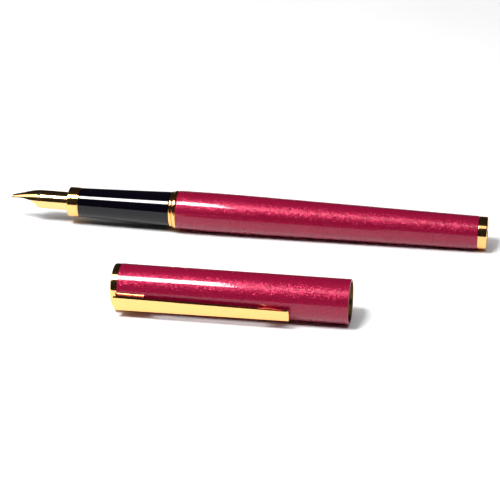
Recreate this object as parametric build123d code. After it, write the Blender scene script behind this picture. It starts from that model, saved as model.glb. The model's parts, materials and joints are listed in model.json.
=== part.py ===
from build123d import *
import math
import os

# Fountain pen with its cap off, in millimetres and degrees.
# The pen's pieces are drawn about the X axis with the nib towards -X and its top
# towards +Z, and x = 0 at the barrel's front face. The cap's pieces are drawn about
# the X axis with x = 0 at the closed end and the clip towards +Z. Both are then laid
# side by side on the plane z = 0.

# ---- Driving dimensions -------------------------------------------------------------

# barrel
barrel_length = 76.2
barrel_front_radius = 4.925
barrel_belly = 0.075  # how far the belly stands over the front edge
barrel_belly_at = 15.5
barrel_blend_at = 20.0  # where the belly's curve runs into the straight taper
barrel_taper_drop = 0.8  # radius lost from the belly to the tail
barrel_wall = 0.525
barrel_edge = 0.18
tail_cap_length = 2.27
tail_cap_step = 0.05  # the tail cap is this much slimmer than the barrel's end
tail_cap_rounding = 0.35
tail_recess_depth = 1.5
tail_rim = 0.95
tail_disc_sink = 0.2
tail_spigot_length = 3.0
tail_web = 1.0
bush_wall = 0.35
bush_length = 8.6
bush_sink = 0.4

# rings between barrel and section
lip_ring_width = 1.05
lip_ring_step = 0.025
lip_ring_gap = 0.02  # clear on both sides of the loose ring
lip_ring_rounding = 0.3
trim_ring_width = 0.88
trim_ring_step = 0.275
trim_ring_rounding = 0.22

# grip section
grip_length = 23.7
grip_step = 0.15
grip_taper_drop = 0.75
grip_edge = 0.2
sleeve_wall = 0.55
sleeve_reach = 8.5  # into the barrel
sleeve_seat = 8.0  # into the grip section
sleeve_seat_step = 0.1
thread_clearance = 0.05
nib_bore_end = 14.0  # behind the grip's front face
nipple_flange = 1.5
nipple_radius = 1.1
nipple_bore = 0.5
nipple_length = 6.4

# nib unit
collar_length = 2.95
collar_step = 0.11
collar_wall = 0.535
collar_lip = 0.3
collar_rounding = 0.25
spigot_wall = 0.85
nib_exposed = 15.5
nib_thickness = 0.25
nib_wrap = 98.0  # to each side of the nib's top line
nib_shoulder = 7.4  # from the tip
nib_tip_rise = 0.8  # top line over the axis at the tip
nib_sheet_back = 0.3  # of the sheet's end behind the ball's front
nib_waist = (0.38, 0.42)  # shares of shoulder distance and of shoulder width
nib_flank = (0.7, 0.85)
nib_tenon = 9.0
nib_slit = 0.12
breather_radius = 0.5
tipping_radius = 0.42
feed_nose = 5.6  # from the tip
feed_belly = 11.0  # from the tip, where the underside reaches its full depth
feed_nose_rise = 0.45  # of the underside under the nose's top line
feed_nose_half_width = 0.55
feed_comb_gap = 0.6  # from the collar to the first slot
feed_fin_gap = 0.28
feed_fin_pitch = 0.7
feed_fin_depth = 0.55
feed_fins = 7
feed_channel = 0.3

# converter
converter_clearance = 0.15
converter_band_step = 0.2
converter_tube_wall = 0.4
mouth_length = 7.0
mouth_step = 0.2
mouth_spigot = 2.0
nipple_fit = 0.05
nipple_end_gap = 0.1
guide_length = 2.0
band_length = 8.0
band_edge = 0.2
knob_fit = 0.05
knob_gap = 0.1
knob_length = 17.0
knob_step = 0.4
knob_edge = 0.4
knob_flutes = 20
knob_flute_radius = 0.28
knob_flute_lift = 0.08  # of the flute's axis over the knob's surface
knob_flute_margin = 2.0  # plain at each end
neck_wall = 1.3
rod_space = 1.7  # between the piston rod and the tube's bore
rod_end_gap = 0.5
knob_end_wall = 1.0
piston_length = 4.5
piston_fit = 0.04
piston_gap = 0.5  # between piston and rod guide at rest
piston_groove = 0.3
piston_stroke = 20.0
piston_front_space = 3.4  # ahead of the piston when it is right down
rod_fit = 0.06
ball_radius = 0.9
ball_clearance = 0.05

# cap
cap_wall = 0.45
cap_mouth_clearance = 0.225  # cap bore over the trim ring
cap_end_ring_width = 1.66
cap_end_ring_step = 0.05
cap_end_rounding = 0.35
cap_disc_depth = 1.1
cap_disc_sink = 0.12
cap_rim = 1.3
cap_spigot_reach = 2.54
cap_tang_thickness = 0.6
cap_tang_width = 2.4
cap_washer_gap = 1.0  # from the tang's round part to the tube
inner_cap_wall = 0.45
inner_cap_floor = 1.5  # under the screw's head
inner_cap_mouth_gap = 12.0  # from the cap's mouth back to the inner cap
screw_head_radius = 2.0
screw_head_height = 1.5
screw_head_sink = 0.2  # below the inner cap's end wall
screw_radius = 1.2
cap_tip_space = 5.17  # from the screw head to the nib's tip when the cap is on
clutch_sink = 3.0
clutch_length = 6.0
clutch_thickness = 0.3
clutch_slots = 6
clutch_slot_width = 0.6
clutch_slot_length = 4.2

# clip
clip_start = 1.1  # behind the cap's closed end
clip_length = 41.4
clip_root_width = 3.9
clip_end_width = 3.0
clip_thickness = 0.6
clip_standoff = 0.9  # air between the cap and the arm
clip_clearance = 0.06
clip_ear_start = 0.6  # behind the clip's own start
clip_ear_end = 7.2
clip_ear_thickness = 0.5
clip_edge = 0.12
clip_overlap = 0.01  # of the ears into the strip
clip_bump_length = 7.1
clip_bump_from_end = 4.5
clip_bump_width = 2.8

# how the pieces lie
side_spacing = 42.5  # between the two axes
cap_mouth_ahead = 49.5  # from the barrel's front face to the cap's mouth
nib_roll = 34.0  # nib's top turned from upright towards -Y
clip_roll = 102.0  # clip turned from upright towards -Y

# ---- Sizes that follow --------------------------------------------------------------

belly_radius = barrel_front_radius + barrel_belly
taper = barrel_taper_drop / (barrel_length - barrel_belly_at)
tail_radius = belly_radius - barrel_taper_drop
bush_radius = barrel_front_radius - barrel_wall
sleeve_radius = bush_radius - bush_wall - thread_clearance
sleeve_bore = sleeve_radius - sleeve_wall
tail_spigot_radius = tail_radius - barrel_wall
tail_cap_radius = tail_radius - tail_cap_step
tail_recess_radius = tail_cap_radius - tail_rim

lip_ring_back = -lip_ring_gap
lip_ring_front = lip_ring_back - lip_ring_width
lip_ring_radius = barrel_front_radius - lip_ring_step
trim_ring_back = lip_ring_front - lip_ring_gap
trim_ring_front = trim_ring_back - trim_ring_width
trim_ring_radius = lip_ring_radius - trim_ring_step

grip_back = trim_ring_front
grip_front = grip_back - grip_length
grip_back_radius = trim_ring_radius - grip_step
grip_front_radius = grip_back_radius - grip_taper_drop
sleeve_seat_radius = sleeve_radius - sleeve_seat_step
sleeve_seat_end = grip_back - sleeve_seat

collar_front = grip_front - collar_length
collar_radius = grip_front_radius + collar_step
spigot_radius = collar_radius - collar_wall
spigot_front = collar_front + collar_lip
nib_radius = spigot_radius - spigot_wall
nib_tip = collar_front - nib_exposed
nib_end = collar_front + nib_tenon
nib_inner_radius = nib_radius - nib_thickness
feed_end = grip_front + nib_bore_end - nipple_flange
nipple_face = feed_end + nipple_flange
tip_height = nib_tip_rise - nib_thickness / 2

converter_radius = sleeve_bore - converter_clearance
tube_radius = converter_radius - converter_band_step
tube_bore = tube_radius - converter_tube_wall
mouth_radius = tube_radius - mouth_step
converter_front = nipple_face + nipple_fit
mouth_back = converter_front + mouth_length
piston_room = piston_front_space + piston_stroke + piston_length + piston_gap
converter_tube_length = mouth_spigot + piston_room + guide_length
tube_back = mouth_back + converter_tube_length
guide_front = tube_back - guide_length
band_back = tube_back + band_length
rod_radius = tube_bore - rod_space
rod_bore = rod_radius + rod_fit
neck_radius = rod_bore + neck_wall
knob_front = band_back + knob_gap
knob_back = knob_front + knob_length
knob_radius = converter_radius - knob_step
rod_back = knob_back - knob_end_wall - rod_end_gap
piston_back = guide_front - piston_gap
piston_front = piston_back - piston_length
piston_radius = tube_bore - piston_fit

cap_bore = trim_ring_radius + cap_mouth_clearance
cap_radius = cap_bore + cap_wall
cap_stack = cap_end_ring_width + cap_spigot_reach + cap_tang_thickness
screw_head_back = cap_stack + inner_cap_floor
inner_cap_end = screw_head_back + screw_head_height + screw_head_sink
hidden_length = lip_ring_front - nib_tip
cap_length = screw_head_back + screw_head_height + cap_tip_space + hidden_length
cap_end_radius = cap_radius - cap_end_ring_step
cap_disc_radius = cap_end_radius - cap_rim
inner_cap_bore = cap_bore - inner_cap_wall
tang_front = cap_end_ring_width + cap_spigot_reach
clip_underside = cap_radius + clip_standoff

pen_pitch = math.degrees(math.atan(taper))
taper_radius_at_front = belly_radius + taper * barrel_belly_at
axis_height = taper_radius_at_front * math.cos(math.radians(pen_pitch))


# ---- Helpers ------------------------------------------------------------------------

def turned(points, rounding=0.0):
    """A solid turned about the X axis from (x, radius) points, outer corners rounded."""
    face = make_face(Polyline(*points, close=True))
    if rounding:
        face = fillet(face.vertices().group_by(Axis.Y)[-1], rounding)
    return revolve(face, Axis.X)


def ring(start, end, outer, bore, rounding=0.0):
    """A plain ring or tube between two places on the axis."""
    return turned([(start, bore), (end, bore), (end, outer), (start, outer)], rounding)


def rod(start, end, radius, rounding=0.0):
    """A solid cylinder between two places on the axis."""
    return turned([(start, 0), (end, 0), (end, radius), (start, radius)], rounding)


def block(x_range, y_range, z_range):
    """A box between the given limits."""
    spans = (x_range, y_range, z_range)
    sizes = [high - low for low, high in spans]
    middle = [(high + low) / 2 for low, high in spans]
    return Pos(*middle) * Box(*sizes)


def barrel_radius_at(x):
    """Outer radius on the barrel's straight taper."""
    return belly_radius - taper * (x - barrel_belly_at)


# ---- Barrel -------------------------------------------------------------------------

def make_barrel_tube():
    """Thin brass tube with a gentle belly near the front and a straight taper behind."""
    blend = (barrel_blend_at, barrel_radius_at(barrel_blend_at))
    bush_back = bush_sink + bush_length
    belly = TangentArc(blend, (0, barrel_front_radius), tangent=(-1, taper))
    rest = Polyline(
        (0, barrel_front_radius),
        (0, bush_radius),
        (bush_back, bush_radius),
        (barrel_length - tail_spigot_length, tail_spigot_radius),
        (barrel_length, tail_spigot_radius),
        (barrel_length, tail_radius),
        blend,
    )
    tube = revolve(make_face(belly + rest), Axis.X)
    edges = tube.edges().filter_by(GeomType.CIRCLE)
    rims = [e for e in edges if e.radius > bush_radius and e.center().X < 1]
    rims += [e for e in edges if abs(e.radius - tail_radius) < 0.01]
    return fillet(rims, barrel_edge)


def make_barrel_bush():
    """Threaded brass bush inside the barrel's mouth."""
    bore = sleeve_radius + thread_clearance
    return ring(bush_sink, bush_sink + bush_length, bush_radius, bore)


def make_tail_cap():
    """Turned cap with a spigot in the barrel and a recess for the end disc."""
    back = barrel_length + tail_cap_length
    recess = back - tail_recess_depth
    spigot = barrel_length - tail_spigot_length
    head = rod(barrel_length, back, tail_cap_radius)
    rim = head.edges().filter_by(GeomType.CIRCLE).sort_by(Axis.X)[-1]
    head = fillet(rim, tail_cap_rounding) - rod(recess, back, tail_recess_radius)
    plug = ring(spigot, barrel_length, tail_spigot_radius, tail_spigot_radius - tail_web)
    return head + plug


def make_tail_disc():
    """Flat disc set in the tail cap."""
    back = barrel_length + tail_cap_length
    return rod(back - tail_recess_depth, back - tail_disc_sink, tail_recess_radius)


# ---- Rings and grip section ---------------------------------------------------------

def make_lip_ring():
    """Loose ring that sits between the section and the barrel."""
    bore = sleeve_radius + thread_clearance
    return ring(lip_ring_front, lip_ring_back, lip_ring_radius, bore, lip_ring_rounding)


def make_trim_ring():
    """Narrow ring fixed on the sleeve behind the grip."""
    return ring(trim_ring_front, trim_ring_back, trim_ring_radius, sleeve_radius,
                trim_ring_rounding)


def make_grip():
    """Tapered grip with a spigot for the collar and bores for nib, nipple and sleeve."""
    body = turned([
        (grip_front, nib_radius),
        (grip_back, nib_radius),
        (grip_back, grip_back_radius),
        (grip_front, grip_front_radius),
    ])
    body = fillet(body.edges().filter_by(GeomType.CIRCLE).filter_by(
        lambda e: e.radius > sleeve_radius or abs(e.radius - grip_front_radius) < 0.01),
        grip_edge)
    spigot = ring(spigot_front, grip_front, spigot_radius, nib_radius)
    chamber = rod(feed_end, grip_back, sleeve_bore)
    seat = rod(sleeve_seat_end, grip_back, sleeve_seat_radius)
    return body + spigot - chamber - seat


def make_sleeve():
    """Sleeve fixed in the grip, with the thread that screws into the barrel."""
    seat = ring(sleeve_seat_end, grip_back, sleeve_seat_radius, sleeve_bore)
    threaded = ring(grip_back, sleeve_reach, sleeve_radius, sleeve_bore)
    return seat + threaded


def make_nipple():
    """Plug with the hollow nipple that the converter is pushed onto."""
    flange = ring(feed_end, nipple_face, sleeve_bore, nipple_bore)
    nipple = ring(nipple_face, nipple_face + nipple_length, nipple_radius, nipple_bore)
    return flange + nipple


def make_collar():
    """Metal collar round the grip's front, with a thin lip over its end."""
    shell = ring(collar_front, grip_front, collar_radius, spigot_radius, collar_rounding)
    lip = ring(collar_front, spigot_front, spigot_radius, nib_radius)
    return shell + lip


# ---- Nib and feed -------------------------------------------------------------------

def nib_outline():
    """Plan of the nib's point: concave sides from the tip out to the shoulders."""
    span = nib_radius - breather_radius / 2
    shoulder = (nib_tip + nib_shoulder, nib_radius)
    start = (nib_tip + nib_sheet_back, tipping_radius)
    waist, flank = ((nib_tip + along * nib_shoulder, across * span)
                    for along, across in (nib_waist, nib_flank))
    side = Spline(start, waist, flank, shoulder, tangents=[(1, 0.1), (1, 0.5)])
    back = nib_end + 1
    edge = nib_radius + 1
    half = side + Polyline(shoulder, (shoulder[0], edge), (back, edge), (back, 0),
                           (start[0], 0), start)
    half_face = make_face(half)
    return half_face + mirror(half_face, Plane.XZ)


def make_nib():
    """Rolled sheet: a half tube over the feed that draws in like a cone to the tip."""
    shoulder = nib_tip + nib_shoulder
    start = nib_tip + nib_sheet_back
    section = make_face(Polyline(
        (start, nib_tip_rise),
        (shoulder, nib_radius),
        (nib_end, nib_radius),
        (nib_end, nib_inner_radius),
        (shoulder, nib_inner_radius),
        (start, nib_tip_rise - nib_thickness),
        close=True,
    ))
    upright = Rot(90 - nib_wrap, 0, 0) * section
    shell = revolve(upright, Axis.X, revolution_arc=2 * nib_wrap)
    shell = shell & extrude(nib_outline(), nib_radius + 1, both=True)
    slit_end = shoulder
    slit = block((nib_tip - 1, slit_end), (-nib_slit / 2, nib_slit / 2), (0, nib_radius + 1))
    hole = Pos(slit_end, 0, nib_radius) * Cylinder(breather_radius, nib_radius)
    return shell - slit - hole


def make_tipping(nib):
    """Hard ball at the tip, split by the slit like the nib."""
    centre = nib_tip + tipping_radius
    ball = Pos(centre, 0, tip_height - tipping_radius / 3) * Sphere(tipping_radius)
    slit = block((nib_tip - 1, nib_tip + 2), (-nib_slit / 2, nib_slit / 2),
                 (-nib_radius, nib_radius))
    return ball - slit - nib


def make_feed():
    """Feed that fills the nib's hollow, its nose drawn in and its underside finned."""
    shoulder = nib_tip + nib_shoulder
    nose = nib_tip + feed_nose
    rise = nib_inner_radius - nib_tip_rise + nib_thickness
    slope = rise / (nib_shoulder - nib_sheet_back)
    nose_radius = nib_inner_radius - slope * (nib_shoulder - feed_nose)
    body = turned([
        (nose, 0),
        (nose, nose_radius),
        (shoulder, nib_inner_radius),
        (feed_end, nib_inner_radius),
        (feed_end, 0),
    ])
    belly = nib_tip + feed_belly
    depth = nib_radius + 1
    under = make_face(Polyline(
        (nose - 1, nose_radius - feed_nose_rise),
        (nose, nose_radius - feed_nose_rise),
        (belly, -nib_inner_radius),
        (belly, -depth),
        (nose - 1, -depth),
        close=True,
    ))
    wedge = extrude(Plane.XZ * under, depth, both=True)
    cheek = make_face(Polyline(
        (nose - 1, feed_nose_half_width),
        (nose, feed_nose_half_width),
        (belly, nib_inner_radius),
        (belly, depth),
        (nose - 1, depth),
        close=True,
    ))
    cheek = extrude(cheek, depth, both=True)
    body = body - wedge - cheek - mirror(cheek, Plane.XZ)
    top = -(nib_inner_radius - feed_fin_depth)
    for number in range(feed_fins):
        at = collar_front - feed_comb_gap - number * feed_fin_pitch
        body -= block((at - feed_fin_gap, at), (-depth, depth), (-depth, top))
    channel = feed_channel / 2
    body -= block((nose - 1, feed_end + 1), (-channel, channel),
                  (nib_inner_radius - feed_channel, depth))
    return body


# ---- Converter ----------------------------------------------------------------------

def make_converter_mouth():
    """Socket that grips the nipple, with a spigot in the ink tube."""
    socket = converter_front + nipple_length
    bore = nipple_radius + nipple_fit
    body = rod(converter_front, mouth_back, mouth_radius)
    spigot = rod(mouth_back, mouth_back + mouth_spigot, tube_bore)
    feed_hole = rod(socket, mouth_back + mouth_spigot, nipple_bore)
    return body + spigot - rod(converter_front, socket + nipple_end_gap, bore) - feed_hole


def make_converter_tube():
    """Clear ink tube."""
    return ring(mouth_back, tube_back, tube_radius, tube_bore)


def make_rod_guide():
    """Bush in the tube's rear that keeps the piston rod from turning."""
    return ring(guide_front, tube_back, tube_bore, rod_bore)


def make_converter_band():
    """Metal band that holds the knob's neck."""
    return ring(tube_back, band_back, converter_radius, neck_radius + knob_fit, band_edge)


def make_ball():
    """Loose steel ball that stirs the ink."""
    at = mouth_back + mouth_spigot + ball_radius + 2 * ball_clearance
    return Pos(at, 0, -(tube_bore - ball_radius - ball_clearance)) * Sphere(ball_radius)


def make_knob():
    """Fluted knob on a hollow neck whose thread drives the piston rod."""
    neck = rod(tube_back + knob_gap, knob_front, neck_radius)
    head = rod(knob_front, knob_back, knob_radius, knob_edge)
    flute = Rot(0, 90, 0) * Cylinder(knob_flute_radius, knob_length - 2 * knob_flute_margin)
    flute = Pos(knob_front + knob_length / 2, 0, knob_radius + knob_flute_lift) * flute
    for number in range(knob_flutes):
        head -= Rot(360 / knob_flutes * number, 0, 0) * flute
    hollow = rod(tube_back + knob_gap, knob_back - knob_end_wall, rod_bore)
    return neck + head - hollow


def make_piston_seal():
    """Two-lipped piston."""
    lip = piston_length / 3
    waist = piston_radius - piston_groove
    front = rod(piston_front, piston_front + lip, piston_radius)
    middle = rod(piston_front + lip, piston_back - lip, waist)
    back = rod(piston_back - lip, piston_back, piston_radius)
    return front + middle + back


def make_piston_rod():
    """Threaded rod that draws the piston."""
    return rod(piston_back, rod_back, rod_radius)


# ---- Cap ----------------------------------------------------------------------------

def make_cap_tube():
    """Thin brass tube with a slot for the clip's tang."""
    tube = ring(cap_end_ring_width, cap_length, cap_radius, cap_bore)
    mouth = tube.edges().filter_by(GeomType.CIRCLE).group_by(Axis.X)[-1]
    tube = fillet(mouth, cap_wall / 4)
    half = cap_tang_width / 2
    return tube - block((tang_front, tang_front + cap_tang_thickness), (-half, half),
                        (0, cap_radius + 1))


def make_cap_end_ring():
    """End ring with a spigot in the tube and a threaded boss for the cap screw."""
    head = ring(0, cap_end_ring_width, cap_end_radius, screw_radius)
    head = fillet(head.edges().filter_by(GeomType.CIRCLE).group_by(Axis.X)[0]
                  .filter_by(lambda e: e.radius > screw_radius + 1), cap_end_rounding)
    spigot = ring(cap_end_ring_width, tang_front, cap_bore, screw_radius)
    return head + spigot - rod(0, cap_disc_depth, cap_disc_radius)


def make_cap_disc():
    """Flat disc set in the end ring."""
    return rod(cap_disc_sink, cap_disc_depth, cap_disc_radius)


def make_clip_tang():
    """Plate that holds the clip: it reaches out through the slot, under the clip."""
    half = cap_tang_width / 2
    back = tang_front + cap_tang_thickness
    outer = clip_underside - clip_clearance
    plate = block((tang_front, back), (-half, half), (-half, outer))
    washer = ring(tang_front, back, cap_bore - cap_washer_gap, screw_radius)
    return plate + washer - rod(tang_front, back, screw_radius)


def make_inner_cap():
    """Plastic liner, closed at one end, where the cap screw's head is sunk in it."""
    mouth = cap_length - inner_cap_mouth_gap
    body = rod(cap_stack, mouth, cap_bore)
    chamber = rod(inner_cap_end, mouth, inner_cap_bore)
    head_seat = rod(screw_head_back, inner_cap_end, screw_head_radius)
    return body - chamber - head_seat - rod(cap_stack, screw_head_back, screw_radius)


def make_cap_screw():
    """Screw that clamps end ring, tang and inner cap."""
    shank = rod(cap_disc_depth, screw_head_back, screw_radius)
    head = rod(screw_head_back, screw_head_back + screw_head_height, screw_head_radius)
    half = screw_radius / 4
    slot_floor = screw_head_back + screw_head_height / 2
    slot = block((slot_floor, cap_length), (-half, half),
                 (-screw_head_radius, screw_head_radius))
    return shank + head - slot


def make_clutch_ring():
    """Slotted spring ring that grips the section."""
    end = cap_length - clutch_sink
    start = end - clutch_length
    band = ring(start, end, cap_bore, cap_bore - clutch_thickness)
    half = clutch_slot_width / 2
    slot = block((start - 1, start + clutch_slot_length), (-half, half), (0, cap_radius))
    for number in range(clutch_slots):
        band -= Rot(360 / clutch_slots * number, 0, 0) * slot
    return band


# ---- Clip ---------------------------------------------------------------------------

def make_clip():
    """Tapered spring strip with two ears at its root and a pressed bump near its end."""
    root = clip_root_width / 2
    end = clip_end_width / 2
    plan = make_face(Polyline((0, -root), (clip_length, -end), (clip_length, end),
                              (0, root), close=True))
    arm = Pos(0, 0, clip_underside) * extrude(plan, clip_thickness)
    arm = fillet(arm.edges().group_by(Axis.Z)[-1], clip_edge)
    ear_span = (clip_ear_start, clip_ear_end)
    inside = root - clip_ear_thickness
    ears = block(ear_span, (-root, root), (cap_radius / 2, clip_underside + clip_overlap))
    ears -= block((0, clip_length), (-inside, inside), (0, clip_underside))
    ears = ears & (Pos(0, 0, clip_underside) * extrude(plan, cap_radius, both=True))
    clear = rod(-1, clip_length, cap_radius + clip_clearance)
    return Pos(clip_start, 0, 0) * (arm + (ears - clear) + make_bump())


def make_bump():
    """Smooth pad pressed down from the strip until it all but touches the cap."""
    middle = clip_length - clip_bump_from_end
    depth = clip_standoff - clip_clearance
    half = clip_bump_length / 2
    curve = ThreePointArc((middle - half, 0), (middle, -depth), (middle + half, 0))
    outline = make_face(curve + Polyline((middle + half, 0), (middle - half, 0)))
    pad = extrude(Plane.XZ * outline, clip_bump_width / 2, both=True)
    return Pos(0, 0, clip_underside) * pad


# ---- Assembly -----------------------------------------------------------------------

def make_pen():
    """Every piece of the pen, about its own axis."""
    nib = make_nib()
    return {
        "barrel_tube": make_barrel_tube(),
        "barrel_bush": make_barrel_bush(),
        "tail_cap": make_tail_cap(),
        "tail_disc": make_tail_disc(),
        "barrel_lip_ring": make_lip_ring(),
        "section_trim_ring": make_trim_ring(),
        "grip_section": make_grip(),
        "section_sleeve": make_sleeve(),
        "cartridge_nipple": make_nipple(),
        "nib_collar": make_collar(),
        "nib": nib,
        "nib_tipping": make_tipping(nib),
        "feed": make_feed(),
        "converter_mouth": make_converter_mouth(),
        "converter_tube": make_converter_tube(),
        "converter_rod_guide": make_rod_guide(),
        "converter_band": make_converter_band(),
        "agitator_ball": make_ball(),
        "converter_knob": make_knob(),
        "piston_seal": make_piston_seal(),
        "piston_rod": make_piston_rod(),
    }


def make_cap():
    """Every piece of the cap, about its own axis."""
    return {
        "cap_tube": make_cap_tube(),
        "cap_end_ring": make_cap_end_ring(),
        "cap_end_disc": make_cap_disc(),
        "cap_screw": make_cap_screw(),
        "clip_tang": make_clip_tang(),
        "inner_cap": make_inner_cap(),
        "clutch_ring": make_clutch_ring(),
        "clip": make_clip(),
    }


def lay_out():
    """Pen and cap side by side, with the origin under the middle of their box."""
    pen_place = Pos(0, 0, axis_height) * Rot(0, pen_pitch, 0) * Rot(nib_roll, 0, 0)
    cap_place = Pos(cap_mouth_ahead - cap_length, -side_spacing, cap_radius)
    cap_place = cap_place * Rot(clip_roll, 0, 0)
    pieces = {name: pen_place * piece for name, piece in make_pen().items()}
    pieces.update({name: cap_place * piece for name, piece in make_cap().items()})
    boxes = [piece.bounding_box() for piece in pieces.values()]
    low = [min(tuple(box.min)[k] for box in boxes) for k in range(3)]
    high = [max(tuple(box.max)[k] for box in boxes) for k in range(3)]
    shift = Pos(-(low[0] + high[0]) / 2, -(low[1] + high[1]) / 2, -low[2])
    places = {"pen": shift * pen_place, "cap": shift * cap_place}
    return {name: shift * piece for name, piece in pieces.items()}, places


pieces, places = lay_out()
os.makedirs("parts", exist_ok=True)
for name, piece in pieces.items():
    export_step(piece, f"parts/{name}.step")
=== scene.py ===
import json
import math

import bmesh
import bpy
import numpy as np
from bpy.props import FloatProperty, FloatVectorProperty, IntProperty, PointerProperty
from mathutils import Matrix, Vector


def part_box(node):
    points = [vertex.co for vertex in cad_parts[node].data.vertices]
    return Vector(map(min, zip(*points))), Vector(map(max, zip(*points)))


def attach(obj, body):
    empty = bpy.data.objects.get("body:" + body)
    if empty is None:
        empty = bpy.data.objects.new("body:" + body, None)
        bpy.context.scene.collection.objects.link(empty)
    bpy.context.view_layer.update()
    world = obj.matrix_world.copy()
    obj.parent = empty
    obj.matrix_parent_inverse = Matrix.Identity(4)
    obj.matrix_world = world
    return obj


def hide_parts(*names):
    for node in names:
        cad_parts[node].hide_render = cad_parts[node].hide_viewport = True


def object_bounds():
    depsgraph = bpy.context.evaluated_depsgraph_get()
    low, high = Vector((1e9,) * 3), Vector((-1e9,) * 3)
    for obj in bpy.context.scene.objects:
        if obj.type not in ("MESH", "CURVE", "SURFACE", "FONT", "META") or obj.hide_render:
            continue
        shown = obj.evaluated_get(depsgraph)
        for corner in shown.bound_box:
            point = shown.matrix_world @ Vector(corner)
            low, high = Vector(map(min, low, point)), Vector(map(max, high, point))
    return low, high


bl_info = {
    "name": "Fountain Pen",
    "version": (1, 0, 0),
    "blender": (4, 5, 0),
    "location": "View3D > Sidebar > Pen",
    "description": "Finished surfaces, materials and stage for a fountain pen and its cap",
    "category": "Object",
}

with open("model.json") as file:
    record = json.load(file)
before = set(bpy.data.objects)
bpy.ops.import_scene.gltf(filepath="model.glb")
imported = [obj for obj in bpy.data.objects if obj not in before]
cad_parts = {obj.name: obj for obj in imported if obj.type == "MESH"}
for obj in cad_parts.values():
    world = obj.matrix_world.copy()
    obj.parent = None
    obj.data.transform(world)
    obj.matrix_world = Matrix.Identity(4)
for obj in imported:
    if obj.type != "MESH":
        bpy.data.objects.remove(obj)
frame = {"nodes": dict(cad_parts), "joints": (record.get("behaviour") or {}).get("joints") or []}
cad_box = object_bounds()

MM = 0.001
JOINTS = {joint["name"]: joint for joint in frame["joints"]}
ROUND_STEPS = 160  # around a turned piece
TUBE_STEPS = 224  # around the barrel and the cap
CORNER_STEPS = 7  # along a rounded corner
SHARP_ANGLE = math.radians(34)
CREST_BAND = 0.01  # points within it of the outer radius are on the outside, in mm
BUMP_DEPTH = 0.00002  # in metres


# ---- Where the pen and the cap lie ----------------------------------------------------

def placement(origin, along, roll):
    """Matrix of an axis frame: X runs along, Z starts upright and is rolled about X."""
    x = np.array(along, float) / np.linalg.norm(along)
    side = np.cross((0.0, 0.0, 1.0), x)
    side /= np.linalg.norm(side)
    up = np.cross(x, side)
    y = side * math.cos(roll) + up * math.sin(roll)
    z = up * math.cos(roll) - side * math.sin(roll)
    return np.column_stack([x, y, z]), np.array(origin, float)


def cap_axis_origin():
    """Centre of the cap's closed end."""
    low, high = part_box("cap_end_ring")
    return (low.x, (low.y + high.y) / 2, (low.z + high.z) / 2)


NIB_ROLL = math.radians(34)
CLIP_ROLL = math.radians(102)
PEN = placement(JOINTS["section_twist"]["pos_m"], JOINTS["section_twist"]["axis"], NIB_ROLL)
CAP = placement(cap_axis_origin(), (1, 0, 0), CLIP_ROLL)


def local_points(mesh, place):
    """A mesh's points in an axis frame, in millimetres."""
    points = np.empty(len(mesh.vertices) * 3, np.float32)
    mesh.vertices.foreach_get("co", points)
    turn, origin = place
    return (points.reshape(-1, 3).astype(float) - origin) @ turn / MM


def node_points(node, place):
    """A CAD node's points in an axis frame, in millimetres."""
    return local_points(frame["nodes"][node].data, place)


class Turned:
    """Start, end, outer radius and inner radius of a turned CAD node, in millimetres."""

    def __init__(self, node, place):
        points = node_points(node, place)
        reach = np.hypot(points[:, 1], points[:, 2])
        self.start = points[:, 0].min()
        self.end = points[:, 0].max()
        self.outer = reach.max()
        self.bore = reach.min()
        self.profile = (points[:, 0], reach)

    def widest(self, x, within=0.4):
        """Outer radius near a place on the axis."""
        x_at, radius = self.profile
        return radius[np.abs(x_at - x) < within].max()

    def narrowest(self, x, within=0.1):
        """Inner radius near a place on the axis."""
        x_at, radius = self.profile
        return radius[np.abs(x_at - x) < within].min()


# ---- Mesh building --------------------------------------------------------------------

def grid_faces(rows, columns, wrap_rows, wrap_columns):
    """Quads of a grid of points, row by row, joined up where a direction wraps."""
    i = np.arange(rows if wrap_rows else rows - 1)[:, None]
    j = np.arange(columns if wrap_columns else columns - 1)[None, :]
    below, right = (i + 1) % rows, (j + 1) % columns
    quads = (i * columns + j, i * columns + right, below * columns + right, below * columns + j)
    return np.stack([q + 0 * i + 0 * j for q in quads], -1).reshape(-1, 4)


def finish_mesh(name, points, faces, place, sharp=SHARP_ANGLE):
    """Object from local millimetre points: doubles merged, normals outward, smooth."""
    turn, origin = place
    world = points @ turn.T * MM + origin
    mesh = bpy.data.meshes.new(name)
    mesh.from_pydata(world.tolist(), [], faces.tolist())
    work = bmesh.new()
    work.from_mesh(mesh)
    bmesh.ops.remove_doubles(work, verts=work.verts, dist=2e-7)
    bmesh.ops.dissolve_degenerate(work, edges=work.edges, dist=1e-7)
    bmesh.ops.recalc_face_normals(work, faces=work.faces)
    work.to_mesh(mesh)
    work.free()
    mesh.shade_smooth()
    mesh.set_sharp_from_angle(angle=sharp)
    piece = bpy.data.objects.new(name, mesh)
    bpy.context.scene.collection.objects.link(piece)
    return piece


def rounded(corners):
    """Closed outline from (x, radius, rounding) corners. Each rounded corner is the
    parabola that is tangent to both sides, which is close to an arc."""
    points = np.array([corner[:2] for corner in corners], float)
    before = np.roll(points, 1, axis=0) - points
    after = np.roll(points, -1, axis=0) - points
    outline = []
    for (x, r, size), back, ahead in zip(corners, before, after):
        if size <= 0:
            outline.append([[x, r]])
            continue
        here = np.array([x, r])
        start = here + back / np.linalg.norm(back) * size
        end = here + ahead / np.linalg.norm(ahead) * size
        t = np.linspace(0, 1, CORNER_STEPS)[:, None]
        outline.append((1 - t) ** 2 * start + 2 * t * (1 - t) * here + t ** 2 * end)
    return np.vstack(outline)


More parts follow.
